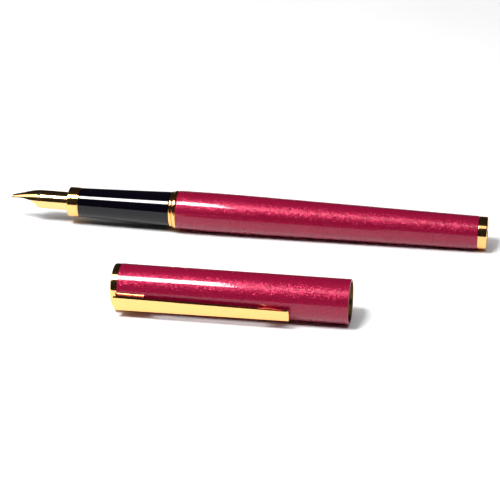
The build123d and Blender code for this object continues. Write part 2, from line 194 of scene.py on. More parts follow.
def lathe(name, outline, place, steps=ROUND_STEPS, radius_factor=None):
    """The closed outline (x, r) turned about X: (x, r cos a, r sin a). radius_factor,
    a function of x, r and a, scales r where the piece isn't plainly round."""
    angle = np.linspace(0, 2 * math.pi, steps, endpoint=False)[:, None]
    x = outline[None, :, 0] + 0 * angle
    r = outline[None, :, 1] + 0 * angle
    if radius_factor is not None:
        r = r * radius_factor(x, r, angle)
    points = np.stack([x, r * np.cos(angle), r * np.sin(angle)], -1).reshape(-1, 3)
    return finish_mesh(name, points, grid_faces(steps, len(outline), True, True), place)


def flat_ends(rows, columns):
    """Quads that close the first and last row of a folded loop: its first half faces its
    second half, point by point."""
    pair = np.arange(columns // 2 - 1)
    bases = (0, (rows - 1) * columns)
    return np.vstack([np.stack([base + pair, base + pair + 1, base + columns - 2 - pair,
                                base + columns - 1 - pair], -1) for base in bases])


def ball_piece(name, node, tilts, turns, plain=False):
    """Ball on a grid of tilt t and turn a: (-p cos t, q sin t cos a, s sin t sin a), with
    p, q and s half the CAD node's sizes. A plain ball has p in place of q and s."""
    points = node_points(node, PEN)
    low, high = points.min(axis=0), points.max(axis=0)
    half = (high - low) / 2
    if plain:
        half[:] = half[0]
    tilt = np.linspace(0, math.pi, tilts)[:, None]
    turn = np.linspace(0, 2 * math.pi, turns, endpoint=False)[None, :]
    unit = np.stack([-np.cos(tilt) + 0 * turn, np.sin(tilt) * np.cos(turn),
                     np.sin(tilt) * np.sin(turn)], -1).reshape(-1, 3)
    return finish_mesh(name, unit * half + (low + high) / 2,
                       grid_faces(tilts, turns, False, True), PEN)


def line_bore(piece, place, middle_of_wall):
    """Marks a tube's inner wall: V of the UV map is 1 where the radius is under the
    middle of the wall, a function of x."""
    mesh = piece.data
    local = local_points(mesh, place)
    reach = np.hypot(local[:, 1], local[:, 2])
    inner = reach < middle_of_wall(local[:, 0])
    corner = np.empty(len(mesh.loops), np.int32)
    mesh.loops.foreach_get("vertex_index", corner)
    uv = np.column_stack([local[corner, 0], inner[corner]]).astype(np.float32)
    mesh.uv_layers.new(name="lining").data.foreach_set("uv", uv.ravel())


def ring_outline(start, end, outer, bore, rounding=0.1, inner_rounding=0.04):
    """Outline of a ring with rounded outer corners and lightly broken inner ones."""
    return rounded([(start, bore, inner_rounding), (start, outer, rounding),
                    (end, outer, rounding), (end, bore, inner_rounding)])


def place_piece(piece, body, slot, material, *nodes):
    """Ties a finished piece to its body and material and hides the CAD nodes it stands for. The
    slot is not used.
    """
    piece.data.materials.clear()
    piece.data.materials.append(material)
    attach(piece, body)
    if nodes:
        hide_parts(*nodes)
    return piece


def place_lathe(name, outline, place, tie, material, steps=ROUND_STEPS):
    """Turned piece that is tied to its body in place of its CAD node, from a (body, slot, CAD
    node) tie; the slot is not used.
    """
    body, slot, node = tie
    return place_piece(lathe(name, outline, place, steps), body, slot, material, node)


# ---- Shader groups --------------------------------------------------------------------

def shader_group(name, inputs, outputs):
    """Empty node group with float inputs, as (label, value), and (label, kind) outputs.
    Returns the group, its inputs as sockets and its output node."""
    kinds = {"f": "NodeSocketFloat", "v": "NodeSocketVector"}
    group = bpy.data.node_groups.new(name, "ShaderNodeTree")
    for label, value in inputs:
        socket = group.interface.new_socket(label, in_out="INPUT", socket_type=kinds["f"])
        socket.default_value = value
    for label, kind in outputs:
        group.interface.new_socket(label, in_out="OUTPUT", socket_type=kinds[kind])
    return group, group.nodes.new("NodeGroupInput").outputs, group.nodes.new("NodeGroupOutput")


def add(tree, kind, inputs=None, **settings):
    """Adds a node, sets its properties, and sets or links its inputs."""
    node = tree.nodes.new(kind)
    for key, value in settings.items():
        setattr(node, key, value)
    for key, value in (inputs or {}).items():
        if isinstance(value, bpy.types.NodeSocket):
            tree.links.new(value, node.inputs[key])
        else:
            node.inputs[key].default_value = value
    return node


def maths(tree, operation, first, second):
    """Output of a Math node on two numbers or sockets."""
    return add(tree, "ShaderNodeMath", {0: first, 1: second}, operation=operation).outputs[0]


def vector_maths(tree, operation, inputs):
    """Output of a Vector Math node."""
    return add(tree, "ShaderNodeVectorMath", inputs, operation=operation).outputs[0]


def object_coords(tree):
    """Object coordinates, in metres."""
    return add(tree, "ShaderNodeTexCoord").outputs["Object"]


def noise_value(tree, vector, scale, **more):
    """Noise from 0 to 1, scale waves to the metre."""
    return add(tree, "ShaderNodeTexNoise", {"Vector": vector, "Scale": scale,
                                            **more}).outputs["Fac"]


def spread(tree, value, low, high):
    """0 to 1 as a value goes from low to high."""
    return add(tree, "ShaderNodeMapRange", {"Value": value, "From Min": low,
                                            "From Max": high}).outputs[0]


def wire(tree, node, **sockets):
    """Links sockets to a node's inputs, which are named with _ for a space."""
    for label, socket in sockets.items():
        tree.links.new(socket, node.inputs[label.replace("_", " ")])


def make_flake_group():
    """Metal flakes under lacquer: each cell of a 3-D Voronoi tilts the normal its own way
    and has its own brightness."""
    group, given, result = shader_group(
        "metal_flake", [("Size", 0.0001), ("Tilt", 0.3), ("Glint", 0.5)],
        [("Normal", "v"), ("Brightness", "f")])
    cells = add(group, "ShaderNodeTexVoronoi", {
        "Vector": object_coords(group), "Scale": maths(group, "DIVIDE", 1.0, given["Size"])})
    colour = cells.outputs["Color"]
    offset = vector_maths(group, "SUBTRACT", {0: colour, 1: (0.5, 0.5, 0.5)})
    tilt = vector_maths(group, "SCALE", {0: offset, "Scale": given["Tilt"]})
    normal = add(group, "ShaderNodeNewGeometry").outputs["Normal"]
    leaned = vector_maths(group, "ADD", {0: normal, 1: tilt})
    chance = add(group, "ShaderNodeSeparateColor", {0: colour}).outputs[0]
    glint = maths(group, "MULTIPLY", maths(group, "POWER", chance, 3.0), given["Glint"])
    wire(group, result, Normal=vector_maths(group, "NORMALIZE", {0: leaned}),
         Brightness=maths(group, "ADD", glint, 0.75))
    return group


def make_handling_group():
    """Signs of handling: soft smudges and fine dust specks, as masks from 0 to 1."""
    group, given, result = shader_group(
        "handling", [("Smudge Size", 0.006), ("Speck Size", 0.0006), ("Speck Amount", 0.5)],
        [("Smudge", "f"), ("Speck", "f")])
    coords = object_coords(group)
    soft = noise_value(group, coords, maths(group, "DIVIDE", 1.0, given["Smudge Size"]),
                       Detail=5.0, Roughness=0.62)
    dots = add(group, "ShaderNodeTexVoronoi", {
        "Vector": coords, "Scale": maths(group, "DIVIDE", 1.0, given["Speck Size"])})
    chance = add(group, "ShaderNodeSeparateColor", {0: dots.outputs["Color"]}).outputs[1]
    near = maths(group, "LESS_THAN", dots.outputs["Distance"], 0.12)
    few = maths(group, "LESS_THAN", chance, given["Speck Amount"])
    wire(group, result, Smudge=spread(group, soft, 0.42, 0.72),
         Speck=maths(group, "MULTIPLY", near, few))
    return group


def make_hairline_group():
    """Fine lines from polishing: noise stretched along X, as a height and a mask."""
    group, given, result = shader_group(
        "hairlines", [("Spacing", 0.00012), ("Length", 0.004)],
        [("Height", "f"), ("Mask", "f")])
    along = maths(group, "DIVIDE", 1.0, given["Length"])
    across = maths(group, "DIVIDE", 1.0, given["Spacing"])
    stretch = add(group, "ShaderNodeCombineXYZ", {0: along, 1: across, 2: across}).outputs[0]
    scaled = vector_maths(group, "MULTIPLY", {0: object_coords(group), 1: stretch})
    lines = noise_value(group, scaled, 1.0, Detail=3.0)
    wire(group, result, Height=lines, Mask=spread(group, lines, 0.35, 0.75))
    return group


def make_wear_group():
    """Wear on edges: where the surface is sharply convex, broken up by noise."""
    group, given, result = shader_group(
        "edge_wear", [("Reach", 0.56), ("Grain Size", 0.0004)], [("Wear", "f")])
    point = add(group, "ShaderNodeNewGeometry").outputs["Pointiness"]
    grain = noise_value(group, object_coords(group),
                        maths(group, "DIVIDE", 1.0, given["Grain Size"]), Detail=4.0)
    edge = spread(group, point, given["Reach"], maths(group, "ADD", given["Reach"], 0.06))
    broken = spread(group, grain, 0.4, 0.65)
    wire(group, result, Wear=maths(group, "MULTIPLY", edge, broken))
    return group


def use_group(tree, name, maker, **values):
    """Places a shared group in a material, making it the first time."""
    group = bpy.data.node_groups.get(name) or maker()
    node = add(tree, "ShaderNodeGroup", node_tree=group)
    for key, value in values.items():
        node.inputs[key.replace("_", " ")].default_value = value
    return node


# ---- Materials ------------------------------------------------------------------------

def new_material(name, **sockets):
    """Material with a Principled shader, its plain values set on its own sockets."""
    name = "finished_" + name
    material = bpy.data.materials.get(name)
    if material:
        return material, None, None
    material = bpy.data.materials.new(name)
    material.use_nodes = True
    tree = material.node_tree
    tree.nodes.clear()
    shader = add(tree, "ShaderNodeBsdfPrincipled")
    output = add(tree, "ShaderNodeOutputMaterial")
    tree.links.new(shader.outputs[0], output.inputs["Surface"])
    for label, value in sockets.items():
        shader.inputs[label.replace("_", " ")].default_value = value
    return material, tree, shader


def mixed_colour(tree, factor, first, second):
    """Colour that goes from first to second with factor."""
    colours = [c if isinstance(c, bpy.types.NodeSocket) else (*c, 1) for c in (first, second)]
    return add(tree, "ShaderNodeMix", {0: factor, 6: colours[0], 7: colours[1]},
               data_type="RGBA").outputs[2]


def mapped(tree, factor, low, high):
    """Value from low to high as factor goes from 0 to 1."""
    return add(tree, "ShaderNodeMapRange", {"Value": factor, "To Min": low,
                                            "To Max": high}).outputs[0]


def bumped(tree, height, strength):
    """Normal from a height from 0 to 1."""
    return add(tree, "ShaderNodeBump", {"Height": height, "Strength": strength,
                                        "Distance": BUMP_DEPTH}).outputs["Normal"]


def lighter(colour, factor, more):
    """Colour times a factor, plus a little, kept under 1."""
    return tuple(min(1.0, part * factor + more) for part in colour)


def lacquer_material():
    """Burgundy metallic lacquer: flake base under a clear, slightly soft top coat. The
    inside of a tube, where the UV map that marks the inner wall has V at 1, is brass
    with painted shade, much darker than bare brass."""
    material, tree, shader = new_material(
        "burgundy_lacquer", Coat_Roughness=0.06, Coat_IOR=1.38, Specular_IOR_Level=0.3,
        Specular_Tint=(1.0, 0.5, 0.6, 1))
    if tree is None:
        return material
    deep = tuple(bpy.context.scene.pen_colours.lacquer)
    flake = use_group(tree, "metal_flake", make_flake_group, Size=0.00013, Tilt=0.42,
                      Glint=1.1)
    smudge = use_group(tree, "handling", make_handling_group).outputs["Smudge"]
    colour = mixed_colour(tree, flake.outputs["Brightness"], (0.0, 0.0, 0.0),
                          lighter(deep, 1.5, 0))
    smudged = mixed_colour(tree, mapped(tree, smudge, 0.0, 0.12), colour, deep)
    lining = add(tree, "ShaderNodeUVMap", uv_map="lining").outputs["UV"]
    inside = add(tree, "ShaderNodeSeparateXYZ", {0: lining}).outputs["Y"]
    peel = noise_value(tree, object_coords(tree), 1400.0, Detail=2.0)
    # Inside a tube the colour is brass darkened by painted shade, well below the bare brass of
    # the bush.
    wire(tree, shader, Base_Color=mixed_colour(tree, inside, smudged, (0.3, 0.17, 0.06)),
         Metallic=mapped(tree, inside, 0.35, 1.0), Coat_Weight=mapped(tree, inside, 1.0, 0.0),
         Roughness=mapped(tree, smudge, 0.26, 0.32), Normal=flake.outputs["Normal"],
         Coat_Normal=bumped(tree, peel, 0.35))
    return material


def gold_material(name="gold_plate", roughness=0.09, tint=None):
    """Polished gold plate with hairlines, smudges and a little edge wear."""
    material, tree, shader = new_material(name, Metallic=1.0)
    if tree is None:
        return material
    gold = tint or tuple(bpy.context.scene.pen_colours.gold)
    lines = use_group(tree, "hairlines", make_hairline_group).outputs
    handling = use_group(tree, "handling", make_handling_group, Smudge_Size=0.003)
    wear = use_group(tree, "edge_wear", make_wear_group).outputs["Wear"]
    rough = maths(tree, "MULTIPLY", handling.outputs["Smudge"], lines["Mask"])
    wire(tree, shader, Base_Color=mixed_colour(tree, wear, gold, lighter(gold, 1.08, 0.05)),
         Roughness=mapped(tree, rough, roughness, roughness * 2.2),
         Normal=bumped(tree, lines["Height"], 0.06))
    return material


def resin_material():
    """Glossy black moulded resin with faint smudges and a few dust specks."""
    material, tree, shader = new_material("black_resin", Specular_IOR_Level=0.36)
    if tree is None:
        return material
    resin = tuple(bpy.context.scene.pen_colours.resin)
    handling = use_group(tree, "handling", make_handling_group, Smudge_Size=0.004,
                         Speck_Size=0.0005, Speck_Amount=0.04).outputs
    ripple = noise_value(tree, object_coords(tree), 700.0)
    wire(tree, shader,
         Base_Color=mixed_colour(tree, handling["Speck"], resin, (0.2, 0.19, 0.19)),
         Roughness=mapped(tree, handling["Smudge"], 0.04, 0.09),
         Normal=bumped(tree, ripple, 0.2))
    return material


def plastic_material(name, colour, roughness):
    """Moulded plastic with a fine matt texture."""
    material, tree, shader = new_material(name)
    if tree is None:
        return material
    smudge = use_group(tree, "handling", make_handling_group,
                       Smudge_Size=0.0015).outputs["Smudge"]
    grain = noise_value(tree, object_coords(tree), 9000.0)
    wire(tree, shader,
         Base_Color=mixed_colour(tree, smudge, colour, lighter(colour, 1.35, 0.004)),
         Roughness=mapped(tree, smudge, roughness, roughness * 1.3),
         Normal=bumped(tree, grain, 0.05))
    return material


def metal_material(name, colour, roughness):
    """Turned or ground metal with fine lines."""
    material, tree, shader = new_material(name, Metallic=1.0)
    if tree is None:
        return material
    lines = use_group(tree, "hairlines", make_hairline_group, Spacing=0.00008,
                      Length=0.0006).outputs
    wear = use_group(tree, "edge_wear", make_wear_group).outputs["Wear"]
    shade = mixed_colour(tree, lines["Mask"], colour, lighter(colour, 0.82, 0))
    wire(tree, shader, Base_Color=mixed_colour(tree, wear, shade, lighter(colour, 1.1, 0.03)),
         Roughness=mapped(tree, lines["Mask"], roughness, roughness * 1.5),
         Normal=bumped(tree, lines["Height"], 0.15))
    return material


def clear_material():
    """Clear moulded plastic of the ink tube, with faint moulding streaks."""
    material, tree, shader = new_material(
        "clear_plastic", Transmission_Weight=1.0, Metallic=0.0, IOR=1.45)
    if tree is None:
        return material
    smudge = use_group(tree, "handling", make_handling_group,
                       Smudge_Size=0.003).outputs["Smudge"]
    wire(tree, shader,
         Base_Color=mixed_colour(tree, smudge, (0.93, 0.95, 0.97), (0.86, 0.88, 0.9)),
         Roughness=mapped(tree, smudge, 0.03, 0.12))
    return material


def floor_material():
    """Plain white table top with the faintest mottling."""
    material, tree, shader = new_material("white_table", Specular_IOR_Level=0.25)
    if tree is None:
        return material
    mottle = noise_value(tree, object_coords(tree), 40.0)
    wire(tree, shader,
         Base_Color=mixed_colour(tree, mottle, (0.74, 0.74, 0.75), (0.77, 0.77, 0.77)),
         Roughness=mapped(tree, mottle, 0.5, 0.6))
    return material


def black_plastic():
    """Black plastic of the feed, the nipple, the inner cap and the converter's fittings."""
    return plastic_material("black_plastic", (0.012, 0.012, 0.013), 0.3)


def steel():
    """Plain steel of the small parts inside."""
    return metal_material("steel", (0.56, 0.56, 0.57), 0.18)


# ---- Settings -------------------------------------------------------------------------

class PenColours(bpy.types.PropertyGroup):
    lacquer: FloatVectorProperty(name="Lacquer", description="Colour of barrel and cap",
                                 subtype="COLOR", default=(0.2, 0.003, 0.025), min=0, max=1)
    gold: FloatVectorProperty(name="Gold", description="Colour of clip, rings and collar",
                              subtype="COLOR", default=(1.0, 0.56, 0.2), min=0, max=1)
    nib_gold: FloatVectorProperty(name="Nib gold", description="Colour of the nib",
                                  subtype="COLOR", default=(1.0, 0.6, 0.25), min=0, max=1)
    resin: FloatVectorProperty(name="Resin", description="Colour of the grip section",
                               subtype="COLOR", default=(0.0015, 0.001, 0.003), min=0, max=1)


class PenShapes(bpy.types.PropertyGroup):
    ring_rounding: FloatProperty(name="Ring rounding", unit="LENGTH", default=0.0004,
                                 description="Rounding of the gold rings' outer corners")
    thread_pitch: FloatProperty(name="Thread pitch", unit="LENGTH", default=0.00075,
                                description="Pitch of the barrel thread")
    thread_depth: FloatProperty(name="Thread depth", unit="LENGTH", default=0.00016,
                                description="Depth of the barrel thread")
    knob_flutes: IntProperty(name="Knob flutes", default=20, min=3,
                             description="Number of grip flutes round the converter knob")
    breather_radius: FloatProperty(name="Breather radius", unit="LENGTH", default=0.0005,
                                   description="Radius of the nib's breather hole")
    slit_width: FloatProperty(name="Slit width", unit="LENGTH", default=0.00006,
                              description="Width of the nib's slit")


class StageSettings(bpy.types.PropertyGroup):
    azimuth: FloatProperty(name="Azimuth", subtype="ANGLE", default=math.radians(10.226),
                           description="Camera's turn round the object from the front")
    elevation: FloatProperty(name="Elevation", subtype="ANGLE",
                             default=math.radians(26.967),
                             description="Camera's height angle")
    roll: FloatProperty(name="Roll", subtype="ANGLE", default=math.radians(-0.819),
                        description="Camera's turn about its own line of sight")
    distance: FloatProperty(name="Distance", unit="LENGTH", default=0.45694,
                            description="From the camera to the point it looks at")
    lens: FloatProperty(name="Lens", unit="CAMERA", default=134.75,
                        description="Focal length in millimetres on a 36 mm sensor")


def length(value):
    """A property's metres as millimetres."""
    return value / MM


# ---- Barrel ---------------------------------------------------------------------------

class PEN_OT_barrel(bpy.types.Operator):
    """Build the lacquered barrel with its tail cap and end disc"""
    bl_idname = "pen.barrel"
    bl_label = "Barrel"

    def execute(self, context):
        tube = Turned("barrel_tube", PEN)
        bush = Turned("barrel_bush", PEN)
        wall = tube.widest(tube.start) - bush.outer
        rim = 0.18  # rounding of both outer edges
        xs = np.linspace(tube.start, tube.end, 56)
        belly = barrel_radius(tube, xs)
        between = (xs > tube.start + rim) & (xs < tube.end - rim)
        corners = [(tube.end, belly[-1] - wall, 0.05), (bush.end, bush.outer, 0),
                   (tube.start, bush.outer, 0.08), (tube.start, belly[0], rim)]
        corners += [(x, r, 0) for x, r in zip(xs[between], belly[between])]
        corners.append((tube.end, belly[-1], rim))
        shell = lathe("barrel_shell", rounded(corners), PEN, TUBE_STEPS)
        line_bore(shell, PEN, lambda x: barrel_radius(tube, x) - wall / 2)
        place_piece(shell, "barrel", "burgundy_lacquer", lacquer_material(), "barrel_tube")

        tail = Turned("tail_cap", PEN)
        disc = Turned("tail_disc", PEN)
        spigot = belly[-1] - wall - 0.01
        rounding = length(context.scene.pen_shapes.ring_rounding)
        outline = rounded([
            (tail.start, 0, 0), (tail.start, spigot, 0.1), (tube.end, spigot, 0),
            (tube.end, tail.outer, 0.1), (tail.end, tail.outer, rounding),
            (tail.end, disc.outer, 0.08), (disc.start, disc.outer, 0), (disc.start, 0, 0)])
        place_lathe("tail_ring", outline, PEN, ("barrel", "gold_plate", "tail_cap"),
                    gold_material())
        place_lathe("tail_inlay", disc_outline(disc.start, disc.end, disc.outer), PEN,
                    ("barrel", "burgundy_disc", "tail_disc"), lacquer_material())
        thread = ring_outline(bush.start, bush.end, bush.outer, bush.bore, 0.08, 0.08)
        place_lathe("barrel_bush_thread", thread, PEN,
                    ("barrel", "bare_brass", "barrel_bush"),
                    metal_material("bare_brass", (0.66, 0.46, 0.19), 0.24))
        return {"FINISHED"}


def barrel_radius(tube, xs):
    """Barrel profile: straight taper from the tail to the blend, then a parabola that is
    tangent to it and ends at the front radius."""
    front, tail = tube.widest(tube.start), tube.widest(tube.end)
    belly_at, blend = 15.5, 20.0  # from the barrel's front
    slope = (tube.outer - tail) / (tube.end - belly_at)
    straight = tube.outer - slope * (xs - belly_at)
    at_blend = tube.outer - slope * (blend - belly_at)
    u = (blend - xs) / blend
    rise = front - at_blend - slope * blend
    return np.where(xs >= blend, straight, at_blend + slope * blend * u + rise * u ** 2)


def disc_outline(start, end, radius, crown=0.06):
    """Disc with a slightly crowned face towards end: height falls with the square of r."""
    r = np.linspace(radius, 0, 14)
    face = np.column_stack([end - crown * (r / radius) ** 2 * np.sign(end - start), r])
    return np.vstack([[[start, 0], [start, radius]], face])


# ---- Rings and grip -------------------------------------------------------------------

class PEN_OT_rings(bpy.types.Operator):
    """Build the two gold rings behind the grip"""
    bl_idname = "pen.rings"
    bl_label = "Rings"

    def execute(self, context):
        rounding = length(context.scene.pen_shapes.ring_rounding)
        for node, name, body in (("barrel_lip_ring", "lip_ring_turned", "lip_ring"),
                                 ("section_trim_ring", "trim_ring_turned", "front")):
            size = Turned(node, PEN)
            outline = ring_outline(size.start, size.end, size.outer, size.bore, rounding)
            place_lathe(name, outline, PEN, (body, "gold_plate", node), gold_material())
        return {"FINISHED"}


class PEN_OT_grip(bpy.types.Operator):
    """Build the black grip, its collar and the threaded sleeve"""
    bl_idname = "pen.grip"
    bl_label = "Grip section"

    def execute(self, context):
        grip = Turned("grip_section", PEN)
        collar = Turned("nib_collar", PEN)
        sleeve = Turned("section_sleeve", PEN)
        spigot = collar.outer - 0.54  # of the grip, inside the collar
        bore_step = collar.end + 12.5  # where the bore widens for the sleeve
        front_radius = grip.widest(collar.end, 0.25)
        xs = np.linspace(collar.end, grip.end, 30)[1:-1]
        u = (xs - collar.end) / (grip.end - collar.end)
        waist = 0.1  # the sides draw in a little between the ends
        sides = front_radius + (grip.outer - front_radius) * u - waist * u * (1 - u)
        outline = rounded(
            [(grip.end, sleeve.bore, 0), (bore_step, sleeve.bore, 0),
             (bore_step, collar.bore, 0), (grip.start, collar.bore, 0),
             (grip.start, spigot, 0.05), (collar.end, spigot, 0),
             (collar.end, front_radius, 0.2)]
            + list(zip(xs, sides, 0 * xs)) + [(grip.end, grip.outer, 0.15)])
        place_lathe("grip_turned", outline, PEN, ("front", "black_resin", "grip_section"),
                    resin_material(), 200)
        place_lathe("collar_turned", collar_outline(collar, spigot), PEN,
                    ("front", "gold_plate", "nib_collar"), gold_material())
        place_piece(threaded_sleeve(sleeve, grip.end, context.scene.pen_shapes), "front",
                    "sleeve_brass", metal_material("sleeve_brass", (0.68, 0.48, 0.2), 0.2),
                    "section_sleeve")
        return {"FINISHED"}


def collar_outline(collar, spigot):
    """Collar with a turned-in front lip and a fine groove near its back."""
    lip = collar.start + 0.3
    return rounded([
        (collar.start, collar.bore, 0.05), (collar.start, collar.outer, 0.34),
        (collar.end - 0.35, collar.outer, 0.08), (collar.end - 0.3, collar.outer - 0.1, 0.05),
        (collar.end - 0.22, collar.outer, 0.05), (collar.end, collar.outer, 0.1),
        (collar.end, spigot, 0), (lip, spigot, 0), (lip, collar.bore, 0)])


def threaded_sleeve(sleeve, seat_end, shapes):
    """Sleeve whose outside is r = crest - depth * ridge(x / pitch - a / 2 pi): ridge is a
    rounded wave that rises and falls once a pitch, faded out at both ends."""
    pitch, depth = length(shapes.thread_pitch), length(shapes.thread_depth)
    start, end = seat_end + 2.2, sleeve.end
    last, fade_length = end - 0.25, 0.5
    xs = np.linspace(start, last, 130)
    neck = sleeve.outer - 0.1
    outline = np.vstack([
        [[sleeve.start, sleeve.bore], [sleeve.start, neck], [seat_end, neck],
         [seat_end, sleeve.outer]],
        np.column_stack([xs, np.full_like(xs, sleeve.outer)]),
        [[end, sleeve.outer - 0.3], [end, sleeve.bore]]])

    def groove(x, r, angle):
        phase = x / pitch - angle / (2 * math.pi)
        ridge = 0.5 - 0.5 * np.cos(2 * math.pi * phase)
        fade = np.clip((x - start) / fade_length, 0, 1) * np.clip((last - x) / fade_length, 0, 1)
        return 1 - (r > sleeve.outer - CREST_BAND) * fade * ridge * depth / sleeve.outer

    return lathe("sleeve_thread", outline, PEN, 144, groove)


# ---- Nib and feed ---------------------------------------------------------------------

class PEN_OT_nib(bpy.types.Operator):
    """Build the nib, its hard tip and the feed under it"""
    bl_idname = "pen.nib"
    bl_label = "Nib and feed"

    def execute(self, context):
        nib_gold = gold_material("nib_gold", 0.1, tuple(context.scene.pen_colours.nib_gold))
        tipping = metal_material("tipping_alloy", (0.72, 0.71, 0.7), 0.16)
        black = black_plastic()
        for piece, slot, material, node in (
                (nib_sheet(context.scene.pen_shapes), "nib_gold", nib_gold, "nib"),
                (ball_piece("tipping", "nib_tipping", 25, 40), "tipping_alloy", tipping,
                 "nib_tipping"),
                (feed_body(), "black_plastic", black, "feed"),
                (nipple_piece(), "black_plastic", black, "cartridge_nipple")):
            place_piece(piece, "front", slot, material, node)
        return {"FINISHED"}


class NibSizes:
    """The nib's main sizes from its CAD node, in millimetres from the tip of the sheet."""

    shoulder = 7.1
    wrap = math.radians(98)
    tip_half_width = 0.5

    def __init__(self):
        points = node_points("nib", PEN)
        reach = np.hypot(points[:, 1], points[:, 2])
        self.start = points[:, 0].min()
        self.end = points[:, 0].max()
        self.radius = reach.max()
        self.thickness = self.radius - reach[points[:, 0] > self.end - 1].min()
        self.tip_rise = points[points[:, 0] < self.start + 0.2, 2].max()

    def rolled_radius(self, u):
        """Radius of the sheet: grows from the tip's rise and settles at the shoulder."""
        share = np.clip(u / self.shoulder, 0, 1)
        ease = share + 0.12 * np.sin(math.pi * share)
        return self.tip_rise + (self.radius - self.tip_rise) * np.clip(ease, 0, 1)

    def sheet(self, u):
        """Thickness of the sheet, which thins towards the tip."""
        return np.minimum(self.thickness, 0.18 + 0.1 * u)

    def half_angle(self, u):
        """Angle from the top line to the sheet's edge, u from the tip: concave from the
        tip, then out to the shoulder, then the full wrap."""
        share = np.clip(u / self.shoulder, 0, 1)
        growth = 0.32 * share + 0.68 * share ** 2.6
        width = self.tip_half_width + (self.radius * 0.995 - self.tip_half_width) * growth
        angle = np.arcsin(np.clip(width / self.rolled_radius(u), 0, 1))
        step = np.clip((u - self.shoulder * 0.86) / (self.shoulder * 0.3), 0, 1)
        return angle + (self.wrap - angle) * step * step * (3 - 2 * step)


def nib_sheet(shapes):
    """Two halves of rolled sheet, points (x, r sin a, r cos a). Each half runs from the
    slit or the top line to its edge, outside and back inside. Past the breather hole the
    halves share their top line, and the wall between them is left out."""
    nib = NibSizes()
    hole = length(shapes.breather_radius)
    slit = length(shapes.slit_width) / 2
    centre = nib.shoulder + 0.35
    u = np.concatenate([np.linspace(0, centre - hole, 40)[:-1],
                        centre + hole * np.cos(np.linspace(math.pi, 0, 17)),
                        np.linspace(centre + hole, nib.end - nib.start, 50)[1:]])
    gap = np.where(u < centre - hole, slit, 0.0)
    round_gap = np.sqrt(np.clip(hole ** 2 - (u - centre) ** 2, 0, None))
    gap = np.where(np.abs(u - centre) <= hole, np.maximum(round_gap, (u < centre) * slit), gap)
    radius = nib.rolled_radius(u)
    first = np.arcsin(np.clip(gap / radius, 0, 1))
    across = np.linspace(0, 1, 26)
    share = 0.35 * across + 0.65 * (0.5 - 0.5 * np.cos(across * math.pi))
    angle = first[:, None] + (nib.half_angle(u) - first)[:, None] * share[None, :]
    outer_r = radius[:, None] + 0 * angle
    inner_r = outer_r - nib.sheet(u)[:, None]
    angles = np.concatenate([angle, angle[:, ::-1]], axis=1)
    radii = np.concatenate([outer_r, inner_r[:, ::-1]], axis=1)
    x = (nib.start + u)[:, None] + 0 * angles
    rows, columns = angles.shape
    faces = grid_faces(rows, columns, False, True).reshape(rows - 1, columns, 4)
    keep = np.ones((rows - 1, columns), bool)
    keep[(gap[:-1] <= 0) & (gap[1:] <= 0), columns - 1] = False
    faces = np.vstack([faces[keep], flat_ends(rows, columns)])
    points = np.vstack([
        np.stack([x, side * radii * np.sin(angles), radii * np.cos(angles)], -1).reshape(-1, 3)
        for side in (1, -1)])
    faces = np.vstack([faces, faces[:, ::-1] + rows * columns])
    return finish_mesh("nib_sheet", points, faces, PEN, math.radians(50))


def feed_body():
    """Feed as a polar surface: at each x the radius along angle a is the least of the
    nib's inside, the rising belly plane and the two cheek planes, less the comb's slots
    on the underside."""
    nib = NibSizes()
    size = Turned("feed", PEN)
    steps = 96
    reach = nib.radius - nib.thickness - 0.01
    belly_end = nib.start - 0.3 + 11.0
    slots = [Turned("nib_collar", PEN).start - 0.6 - 0.7 * k for k in range(7)]
    edges = np.concatenate([[a - 0.29, a - 0.28, a, a + 0.01] for a in slots])
    x = np.unique(np.concatenate([np.linspace(size.start, belly_end, 50), edges,
                                  np.linspace(belly_end, size.end, 20)]))[:, None]
    angle = np.linspace(0, 2 * math.pi, steps, endpoint=False)[None, :]
    u = x - nib.start
    inside = np.minimum(nib.rolled_radius(u) - nib.sheet(u) - 0.015, reach)
    share = np.clip((x - size.start) / (belly_end - size.start), 0, 1)
    depth = 0.2 + (reach - 0.2) * share ** 0.9
    cheek = 0.5 + (reach - 0.5) * share
    down, side = -np.cos(angle), np.abs(np.sin(angle))
    limit = inside + 0 * angle
    for plane, facing in ((depth, down), (cheek, side)):
        cut = np.minimum(limit, plane / np.maximum(facing, 0.01))
        limit = np.where(facing > 0.01, cut, limit)
    in_slot = np.zeros(x.shape, bool)
    for a in slots:
        in_slot |= (x > a - 0.285) & (x < a + 0.005)
    limit = np.where(in_slot & (down > 0.35), np.minimum(limit, reach - 0.55), limit)
    rings = np.stack([x + 0 * limit, limit * np.sin(angle), limit * np.cos(angle)], -1)
    on_axis, flat = np.array([1, 0, 0]), np.array([0, 1, 1])
    rows = np.concatenate([
        rings[:1] * on_axis, rings[1:2] * flat + [size.start, 0, 0], rings[1:-1],
        rings[-2:-1] * flat + [size.end, 0, 0], rings[-1:] * on_axis])
    return finish_mesh("feed_comb", rows.reshape(-1, 3),
                       grid_faces(len(rows), steps, False, True), PEN)


def nipple_piece():
    """Plug and hollow nipple as one turned outline."""
    size = Turned("cartridge_nipple", PEN)
    tube_radius = size.widest(size.end)
    flange = size.start + 1.5
    outline = rounded([
        (size.start, size.bore, 0), (size.start, size.outer, 0.1), (flange, size.outer, 0.1),
        (flange, tube_radius, 0), (size.end, tube_radius, 0.25), (size.end, size.bore, 0.05)])
    return lathe("nipple_turned", outline, PEN, 72)


# ---- Converter ------------------------------------------------------------------------

